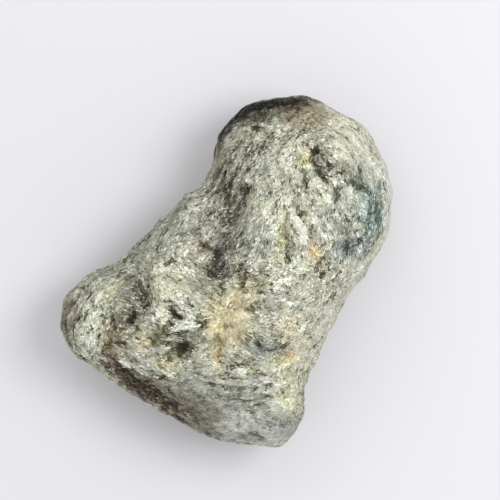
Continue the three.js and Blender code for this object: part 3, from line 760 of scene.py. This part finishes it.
def rock_finish():
    """Grey-green rock of tiny mica grains: each grain has its own shade, partly its colour and partly painted
    glint, lies at its own tilt and so catches the light on its own, with dark between them. The colour holds
    painted shade in the hollows and painted light on the rises."""
    material, tree = new_finish("fuchsite_rock")
    tint = add_node(tree, "Attribute", attribute_name="tint").outputs["Color"]
    hollow_shade_here = add_node(tree, "Attribute", attribute_name="hollow").outputs["Fac"]
    rough_here = add_node(tree, "Attribute", attribute_name="roughness").outputs["Fac"]
    fine = cells_of(tree, (0.19, 0.19, 0.14))
    coarse = cells_of(tree, (0.42, 0.36, 0.24), (0.3, 0.1, 0.4))
    fine_pick = add_node(tree, "SeparateColor", {"Color": fine.outputs["Color"]}).outputs[0]
    coarse_pick = add_node(tree, "SeparateColor", {"Color": coarse.outputs["Color"]}).outputs[1]
    dust = noise_of(tree, (0.5, 0.5, 0.4), 5.0, 0.65)
    shade = times(
        tree,
        ramp(tree, fine_pick, [(0.0, 0.50), (0.2, 0.72), (0.5, 1.0), (0.85, 1.2), (1.0, 1.5)]),
        ramp(tree, coarse_pick, [(0.0, 0.70), (0.3, 0.94), (0.7, 1.05), (1.0, 1.22)]),
    )
    shade = times(tree, shade, ramp(tree, dust, [(0.25, 0.75), (0.5, 1.0), (0.75, 1.2)]))
    # Painted shade: the deeper a place lies in a hollow the darker its colour, and the higher on a rise the
    # lighter.
    hollow_shade_level = add_node(tree, "MapRange", {"Value": hollow_shade_here, "From Min": -0.8, "From Max": 1.0})
    hollow_shade_stops = [(0.0, 1.15), (0.4, 1.0), (0.75, 0.65), (1.0, 0.35)]
    shade = times(tree, shade, ramp(tree, hollow_shade_level.outputs["Result"], hollow_shade_stops))
    bump = add_node(tree, "Bump", {"Strength": 0.6, "Distance": 0.05 * MM, "Height": dust})
    normal = bent_normal(tree, bump.outputs["Normal"], fine, 0.7)
    normal = bent_normal(tree, normal, coarse, 0.5)
    gloss = add_node(tree, "MapRange", {"Value": coarse_pick, "To Min": 0.6, "To Max": 0.3})
    coat(
        tree,
        {
            "Base Color": times(tree, tint, shade, rough_here),
            "Roughness": gloss.outputs["Result"],
            "Specular IOR Level": 0.2,
            "Normal": add_node(tree, "VectorMath", {0: normal}, operation="NORMALIZE").outputs[0],
            "IOR": 1.25,
            "Subsurface Weight": 0.35,
            "Subsurface Radius": (1.0, 1.0, 0.8),
            "Subsurface Scale": 0.15 * MM,
        },
    )
    return material


def put_down(name, mesh):
    """Puts a mesh into the scene as a piece of this name."""
    piece = bpy.data.objects.new(name, mesh)
    bpy.context.scene.collection.objects.link(piece)
    return piece


two_charts(body_mesh, body_places, body_faces)
body_mesh.materials.append(rock_finish())
stone_body = put_down("stone_body", body_mesh)
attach(stone_body, "root")
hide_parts("fuchsite_stone")

# The mica flakes
# The schist's own crystals: thin plates of mica with a pearly shine, that lie in the rock like fallen leaves
# and stand out of it by their broken edges. They grew with the rock, so they go wherever its grain runs.
SEED = 5
FLAKES = 96000
BLADES = 420  # the long white plates of the bright nests
BLADED = 0.95  # only nests brighter than this hold blades
CORNERS = 4
FLAKE_LENGTH = (0.15, 0.55)
BLADE_LENGTH = (0.35, 1.10)
FLAKE_TILT = 8  # tilts are in degrees
BLADE_TILT = 9.0
STEEPEST = 40
ROOT_DEPTH = 0.09
BARE_FOOT = 0.35  # no flake lies closer to the table than this
OFF_TABLE = 0.02
COLOUR_STRAY = 0.13  # a flake may have grown this far from the patch that it has its colour from
DARK_MICA = "#544833"
WHITE_MICA = "#f6f6e6"
BRIGHTEST = 0.88  # no flake is lighter than this

# How light a flake is by its own paleness, partly painted glint, and by how far it lies below the ground
# around it: painted shade in the hollows, painted light on the rises.
FLAKE_TONES = [(0, 0.26), (0.10, 0.42), (0.28, 0.78), (0.5, 1.0), (0.85, 1.24), (1, 1.85)]
HOLLOW_SHADE_TONES = [(-0.8, 1.12), (0, 1.0), (0.5, 0.72), (1, 0.5)]


def grain_run(places):
    """Which way the flakes lie at each place, as an angle seen from above, and how long they are for their
    width."""
    doubled = np.zeros((len(places), 2)) + (0.15, 0.0)
    longer = np.full(len(places), PLAIN_GRAIN * PLAIN_STRETCH)
    total = np.full(len(places), PLAIN_GRAIN)
    for _, middle, reach, stretch, _, (kind, value) in GRAIN:
        weight = near(places, middle, reach)
        if kind == "turn":
            turn = np.full(len(places), math.radians(value))
        else:
            turn = np.arctan2(places[:, 1] - value[1], places[:, 0] - value[0])
        doubled += weight[:, None] * np.stack([np.cos(2 * turn), np.sin(2 * turn)], 1)
        longer += weight * stretch
        total += weight
    return np.arctan2(doubled[:, 1], doubled[:, 0]) / 2, longer / total


def unit(ways):
    """The ways, each made one unit long."""
    return ways / np.linalg.norm(ways, axis=1)[:, None]


def square_to(ways, up):
    """The ways, laid flat on the plane that faces up."""
    return unit(ways - up * (ways * up).sum(axis=1)[:, None])


def nest_run(places):
    """How thickly the bright nests hold blades at each place, and which way they lie."""
    flat = laid_out(places)
    thick, turns = np.zeros(len(places)), np.zeros(len(places))
    for _, middle, reach, turn, _, strength in PLATES:
        share = patch(flat, middle, reach, turn) * face_share(places) * (strength > BLADED)
        turns = np.where(share > thick, math.radians(turn), turns)
        thick = np.maximum(thick, share)
    return thick, turns


draw = np.random.default_rng(SEED)
one, two, three = (body_places[body_faces[:, i]] for i in range(3))  # the corners of every face of the skin
face_middles = (one + two + three) / 3
face_sizes = np.linalg.norm(np.cross(two - one, three - one), axis=1)
face_sizes[face_middles[:, 2] < BARE_FOOT] = 0


def scattered(room, count):
    """Faces of the skin drawn at random by the room that each has, and a place on each."""
    chosen = draw.choice(len(room), count, p=room / room.sum())
    share = draw.random((count, 2))
    share = np.where(share.sum(axis=1, keepdims=True) > 1, 1 - share, share)
    return chosen, one[chosen] + share[:, :1] * (two - one)[chosen] + share[:, 1:] * (three - one)[chosen]


rubbed = np.maximum(dark_edge(face_middles), polish(face_middles))
room = face_sizes * (1.02 - 0.6 * rubbed)
room *= 0.7 + 0.3 * face_share(face_middles)
flake_faces, flake_places = scattered(room, FLAKES)
room = face_sizes * nest_run(face_middles)[0] ** 1.5 * (1 - body_dark[body_faces].mean(axis=1)) ** 2
blade_faces, blade_places = scattered(room, BLADES)
strayed = flake_places + draw.normal(0, COLOUR_STRAY, (FLAKES, 3)) * (1, 1, 0)
flake_rough = roughness_of(flake_places)
flake_shade, flake_dark, flake_bright = shade_of(strayed)

# How pale each flake is, from brown-black at 0 through grey-green to white at 1: partly the mica's own
# colour, partly painted glint, and black in the dark nests where painted shade fills the pits.
paleness = 0.2 + 0.6 * draw.random(FLAKES) + 0.45 * rolling(flake_places / 0.4, 96)
paleness = paleness + 0.30 * rolling(flake_places / 0.8, 97)
paleness += 0.18 * streaks(flake_places) + 0.36 * flake_bright - 0.15 * flake_dark
# Painted glints: a few flakes in the rougher places are made white, as if their faces caught the light.
painted_glint = draw.random(FLAKES) < 0.16 * np.clip(2.5 * (flake_rough - 0.8), 0, 1)
paleness = np.where(painted_glint, 0.96 - 0.2 * flake_dark, paleness)
black = draw.random(FLAKES) < 0.95 * flake_dark
paleness = np.clip(np.where(black, 0.12 * draw.random(FLAKES), paleness), 0, 1)
tone = np.interp(paleness, *zip(*FLAKE_TONES)) ** flake_rough
flake_tint = tint_of(strayed)
# The palest flakes turn almost white: partly pale mica, partly painted glint.
plainness = np.clip((0.55 - 1 + flake_tint.min(axis=1) / flake_tint.max(axis=1)) / 0.3, 0.15, 1)
whiten = (np.clip((paleness - 0.65) / 0.35, 0, 1) * plainness)[:, None] * 0.7
flake_tint += (flake_tint.max(axis=1, keepdims=True) * (0.965, 1.0, 0.94) - flake_tint) * whiten
darken = np.clip((0.22 - paleness) / 0.22, 0, 1)[:, None] * 0.6 * np.minimum(flake_rough, 1)[:, None]
flake_tint += (light_of(DARK_MICA) * 1.7 - flake_tint) * darken
# Painted shade: flakes in the hollows darker and on the rises lighter; the crown's dark edge, partly painted
# cast shadow, darkens its flakes fully.
hollow_shade = np.interp(hollow[body_faces[flake_faces]].mean(axis=1), *zip(*HOLLOW_SHADE_TONES))
depth_of_shade = np.maximum(np.clip(0.85 - paleness, 0.2, 1), 0.8 * dark_edge(strayed))
flake_light = tone * flake_shade**depth_of_shade * hollow_shade
flake_colour = flake_tint * flake_light[:, None]
flake_colour *= browned(flake_light, (1.02, 0.97, 0.80))
flake_colour *= np.minimum(1, BRIGHTEST / flake_colour.max(axis=1, keepdims=True))
# The blades' white is partly pale mica and partly painted highlight, darkened by painted shade in the pits.
blade_tone = 0.72 + 0.28 * draw.random((BLADES, 1))
blade_colour = light_of(WHITE_MICA) * blade_tone * np.exp(-0.5 * nests(blade_places)[1])[:, None]


def laid(faces, places, turn, length, stretch, tilt, proud, narrowest):
    """The corners of thin plates that lie on the skin: each one's rim, and its root in the rock. Beside them
    come the rims laid flat."""
    count = len(places)
    up = unit(calm_facing[body_faces[faces]].mean(axis=1))
    along = np.stack([np.cos(turn), np.sin(turn), np.zeros(count)], 1)
    edge_of_layer = np.cross(LAYER_NORMAL, up)
    edge_of_layer *= np.where((along * edge_of_layer).sum(axis=1) < 0, -1, 1)[:, None]
    share = face_share(places)[:, None]
    along = square_to(share * along + (1 - share) * edge_of_layer, up)
    lean = np.tan(np.radians(np.clip(draw.normal(0, 1, (count, 2)) * tilt[:, None], -STEEPEST, STEEPEST)))
    up = unit(up + along * lean[:, :1] + np.cross(up, along) * lean[:, 1:])
    along = square_to(along, up)
    side = np.cross(up, along)
    half_long, half_wide = 0.5 * length * stretch**0.5, 0.5 * length / stretch**0.5
    angle = (np.arange(CORNERS) + draw.uniform(-0.3, 0.3, (count, CORNERS))) * 2 * math.pi / CORNERS
    reach = draw.uniform(narrowest, 1.0, (count, CORNERS))
    rim_x, rim_y = reach * np.cos(angle), reach * np.sin(angle)
    middles = places + up * proud[:, None]
    rims = middles[:, None] + (half_long[:, None] * rim_x)[:, :, None] * along[:, None]
    rims += (half_wide[:, None] * rim_y)[:, :, None] * side[:, None]
    roots = middles - up * (0.5 * half_wide + ROOT_DEPTH)[:, None]
    corners = np.concatenate([rims, roots[:, None]], 1)
    corners[:, :, 2] = np.maximum(corners[:, :, 2], OFF_TABLE)
    return corners, np.stack([rim_x, rim_y], 2)


turn, stretch = grain_run(flake_places)
turn = turn + draw.normal(0, 0.5, FLAKES) / stretch
length = FLAKE_LENGTH[0] + (FLAKE_LENGTH[1] - FLAKE_LENGTH[0]) * draw.random(FLAKES) ** 3
length *= 1 + 0.4 * flake_bright
tilt = FLAKE_TILT * (0.4 + 0.6 * flake_rough)
proud = draw.uniform(-0.03, 0.02, FLAKES)
flakes = laid(flake_faces, flake_places, turn, length, stretch, tilt, proud, 0.62)

turn = nest_run(blade_places)[1] + draw.normal(0, 0.35, BLADES)
length = BLADE_LENGTH[0] + (BLADE_LENGTH[1] - BLADE_LENGTH[0]) * draw.random(BLADES) ** 2
proud = draw.uniform(0.0, 0.07, BLADES)
stretch = draw.uniform(3, 6, BLADES)
tilt = np.full(BLADES, BLADE_TILT)
blades = laid(blade_faces, blade_places, turn, 0.5 * length, stretch, tilt, proud, 0.7)


def flake_mesh(name, plates, colours, which):
    """Joins the chosen plates. Each has a flat face with sharp corners, and comes to a point at its root."""
    corners, flat = plates[0][which], plates[1][which]
    count = len(which)
    top = [(0, i, i + 1) for i in range(1, CORNERS - 1)]
    walls = [(i, CORNERS, (i + 1) % CORNERS) for i in range(CORNERS)]
    first = np.arange(count) * (CORNERS + 1)
    faces = (np.array(top + walls)[None] + first[:, None, None]).reshape(-1, 3)
    mesh = bpy.data.meshes.new(name)
    mesh.vertices.add(count * (CORNERS + 1))
    mesh.vertices.foreach_set("co", (corners * MM).astype(np.float32).ravel())
    mesh.loops.add(faces.size)
    mesh.loops.foreach_set("vertex_index", faces.astype(np.int32).ravel())
    mesh.polygons.add(len(faces))
    mesh.polygons.foreach_set("loop_start", np.arange(0, faces.size, 3, dtype=np.int32))
    mesh.update(calc_edges=True)
    mesh.shade_flat()
    # For a bake, each plate has a square of the picture to itself.
    squares = math.ceil(math.sqrt(count))
    index = np.arange(count)
    chart = np.concatenate([flat, np.zeros((count, 1, 2))], 1) * 0.42 + 0.5
    chart = (chart + np.stack([index % squares, index // squares], 1)[:, None]) / squares
    chart = chart.reshape(-1, 2)[faces].astype(np.float32)
    mesh.uv_layers.new(name="OFBake").data.foreach_set("uv", chart.ravel())
    store_colour(mesh, "tint", colours[np.repeat(which, CORNERS + 1)])
    return mesh


def flake_finish(name, gloss, shine):
    """Mica: plates with faint steps of growth on them, each of its own shade. gloss is the least and most
    roughness, shine the index of refraction."""
    material, tree = new_finish(name)
    tint = add_node(tree, "Attribute", attribute_name="tint").outputs["Color"]
    steps = noise_of(tree, (0.16, 0.16, 0.10), 3.0, 0.6)
    shade = ramp(tree, steps, [(0.3, 0.62), (0.5, 1.0), (0.72, 1.32)])
    bump = add_node(tree, "Bump", {"Strength": 0.35, "Distance": 0.02 * MM, "Height": steps})
    span = {"From Min": 0.3, "From Max": 0.7, "To Min": gloss[0], "To Max": gloss[1]}
    rough = add_node(tree, "MapRange", {"Value": steps, **span})
    coat(
        tree,
        {
            "Base Color": times(tree, tint, shade),
            "Roughness": rough.outputs["Result"],
            "Normal": bump.outputs["Normal"],
            "IOR": shine,
        },
    )
    return material


# The flakes are parted by paleness into four meshes, each with its own gloss.
order = np.argsort(paleness, kind="stable")
quarter = FLAKES // 4
for name, plates, colours, which, gloss, shine in [
    ("dark_flakes", flakes, flake_colour, order[:quarter], (0.3, 0.5), 1.35),
    ("grey_flakes", flakes, flake_colour, order[quarter : 2 * quarter], (0.3, 0.55), 1.45),
    ("pale_flakes", flakes, flake_colour, order[2 * quarter : 3 * quarter], (0.28, 0.5), 1.6),
    ("silver_flakes", flakes, flake_colour, order[3 * quarter :], (0.2, 0.4), 1.7),
    ("white_blades", blades, blade_colour, np.arange(BLADES), (0.2, 0.4), 1.6),
]:
    mesh = flake_mesh(name, plates, colours, np.sort(which))
    mesh.materials.append(flake_finish(name + "_mica", gloss, shine))
    piece = put_down(name, mesh)
    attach(piece, "root")

# The table
# A plain pale sheet that the stone lies on.
TABLE_HALF = 600 * MM
PAPER_COLOUR = (0.709, 0.703, 0.734, 1)
table_corners = [(-1, -1), (1, -1), (1, 1), (-1, 1)]
table_mesh = bpy.data.meshes.new("table")
table_mesh.from_pydata([(TABLE_HALF * x, TABLE_HALF * y, 0) for x, y in table_corners], [], [(0, 1, 2, 3)])
table_paper = bpy.data.materials.new("pale_paper")
table_paper.use_nodes = True
paper_shader = table_paper.node_tree.nodes["Principled BSDF"]
paper_shader.inputs["Base Color"].default_value = PAPER_COLOUR
paper_shader.inputs["Roughness"].default_value = 0.9
table_mesh.materials.append(table_paper)
table = put_down("table", table_mesh)

# The light and the camera
# Soft daylight from above and from the right, and a camera that looks straight down on the stone's best side.
# Lamps and camera are placed in metres.
SKY_COLOUR = (0.98, 0.985, 1.0, 1)
SKY_STRENGTH = 0.82
LAMP_TARGET = Vector((0, 0, 8 * MM))
CAMERA_HEIGHT = 300 * MM  # above the height where the stone's outline is widest
OUTLINE_HEIGHT = 7.0 * MM
FRAME_WIDTH = 500 / 11 * MM  # the picture's width at that height: 500 points, 11 to the millimetre
FRAME_MIDDLE = (2.16 * MM, 1.85 * MM)
SENSOR_WIDTH = 36.0

scene = bpy.context.scene
scene.view_settings.view_transform = "Standard"
sky = bpy.data.worlds.new("sky")
sky.use_nodes = True
sky.node_tree.nodes["Background"].inputs["Color"].default_value = SKY_COLOUR
sky.node_tree.nodes["Background"].inputs["Strength"].default_value = SKY_STRENGTH
scene.world = sky


def add_window(name, place, size, power):
    """A square soft light that faces the stone."""
    lamp = bpy.data.lights.new(name, "AREA")
    lamp.shape = "SQUARE"
    lamp.size = size
    lamp.energy = power
    window = bpy.data.objects.new(name, lamp)
    window.location = place
    window.rotation_euler = (LAMP_TARGET - Vector(place)).to_track_quat("-Z", "Y").to_euler()
    scene.collection.objects.link(window)


add_window("window", (0.12, 0.03, 0.21), 0.12, 0.27)
add_window("wall", (-0.06, 0.16, 0.22), 0.16, 0.06)

camera_data = bpy.data.cameras.new("camera")
camera_data.sensor_width = SENSOR_WIDTH
camera_data.lens = SENSOR_WIDTH * CAMERA_HEIGHT / FRAME_WIDTH
camera_data.clip_end = 10.0
camera = bpy.data.objects.new("camera", camera_data)
camera.location = (*FRAME_MIDDLE, OUTLINE_HEIGHT + CAMERA_HEIGHT)
scene.collection.objects.link(camera)
scene.camera = camera
